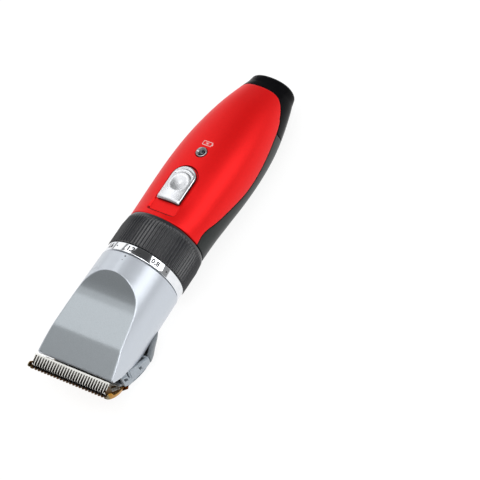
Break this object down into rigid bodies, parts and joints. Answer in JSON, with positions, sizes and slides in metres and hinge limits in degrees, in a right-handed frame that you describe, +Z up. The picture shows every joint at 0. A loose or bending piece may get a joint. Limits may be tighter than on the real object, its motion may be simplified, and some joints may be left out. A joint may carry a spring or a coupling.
{
  "type": "hair clipper",
  "caption": "Cordless hair clipper: contoured two-tone grip with thumb slider, ribbed depth ring, scooped head and a wide toothed blade unit that tilts down.",
  "frame": {"origin": "middle of the length and width, on the surface the clipper lies on", "axes": "+Y from the blade to the tail, +Z up towards the thumb switch, +X to the right with the blade towards -Y"},
  "size_m": [0.0472, 0.189, 0.0432],
  "materials": {
    "red_shell": "satin red lacquer",
    "black_shell": "satin black moulding",
    "gloss_black": "gloss black moulding",
    "charcoal_rubber": "ribbed charcoal grip",
    "chrome_trim": "bright plated",
    "silver_paint": "silver lacquer",
    "frame_plastic": "blue-grey moulding",
    "heel_plastic": "dark grey moulding",
    "titanium_gold": "gold coated steel",
    "ceramic": "ivory ceramic",
    "inner_plastic": "black inner moulding",
    "steel": "bright steel",
    "circuit_green": "solder resist",
    "cell_wrap": "shrink sleeve",
    "lamp": "tinted lens"
  },
  "bodies": {
    "housing": {"top_shell": "red_shell", "lower_shell": "black_shell", "tail_cap": "gloss_black", "shell_screw_front": "steel", "shell_screw_rear": "steel", "lamp_bezel": "chrome_trim", "lamp_lens": "lamp", "charge_socket": "inner_plastic", "socket_pin": "steel", "circuit_board": "circuit_green", "power_microswitch": "inner_plastic", "charge_lamp": "lamp", "capacitor": "inner_plastic", "control_chip": "inner_plastic", "battery_left": "cell_wrap", "battery_right": "cell_wrap", "battery_tab_left": "steel", "battery_tab_right": "steel", "battery_strap": "steel", "motor_can": "steel", "motor_end_cap": "inner_plastic", "chassis": "inner_plastic", "detent_spring": "steel", "detent_ball": "steel", "head_housing": "silver_paint"},
    "power_switch": {"switch_slider": "chrome_trim", "slider_carrier": "inner_plastic"},
    "depth_dial": {"depth_ring": "charcoal_rubber", "depth_band": "chrome_trim", "depth_cam": "inner_plastic"},
    "depth_yoke": {"depth_yoke": "inner_plastic"},
    "motor_rotor": {"motor_shaft": "steel", "eccentric_cam": "steel"},
    "blade_unit": {"blade_frame": "frame_plastic", "frame_heel": "heel_plastic", "fixed_blade": "titanium_gold", "blade_screw_left": "steel", "blade_screw_right": "steel", "blade_spring_left": "steel", "blade_spring_right": "steel"},
    "blade_carriage": {"blade_carriage": "inner_plastic"},
    "moving_blade": {"moving_blade": "ceramic", "blade_driver": "inner_plastic"}
  },
  "joints": [
    {"name": "power_slide", "type": "slide", "parent": "housing", "child": "power_switch", "axis": [0, -1, 0], "range_m": [0, 0.005]},
    {"name": "depth_turn", "type": "hinge", "parent": "housing", "child": "depth_dial", "pos_m": [0, -0.03, 0.0217], "axis": [0, 1, 0], "range_deg": [0, 75]},
    {"name": "yoke_slide", "type": "slide", "parent": "housing", "child": "depth_yoke", "axis": [0, 1, 0], "range_m": [0, 0.0009]},
    {"name": "motor_spin", "type": "hinge", "parent": "housing", "child": "motor_rotor", "pos_m": [0, -0.03, 0.0217], "axis": [0, 1, 0], "continuous": true},
    {"name": "blade_unit_tilt", "type": "hinge", "parent": "housing", "child": "blade_unit", "pos_m": [0, -0.0502, 0.0014], "axis": [1, 0, 0], "range_deg": [0, 45]},
    {"name": "carriage_slide", "type": "slide", "parent": "blade_unit", "child": "blade_carriage", "axis": [0, 0.7314, -0.682], "range_m": [0, 0.00122]},
    {"name": "blade_stroke", "type": "slide", "parent": "blade_carriage", "child": "moving_blade", "axis": [1, 0, 0], "range_m": [-0.001, 0.001]}
  ],
  "couplings": [
    {"joint": "yoke_slide", "follows": "depth_turn", "m_per_rad": 0.00067046},
    {"joint": "carriage_slide", "follows": "depth_turn", "m_per_rad": 0.00091673}
  ]
}
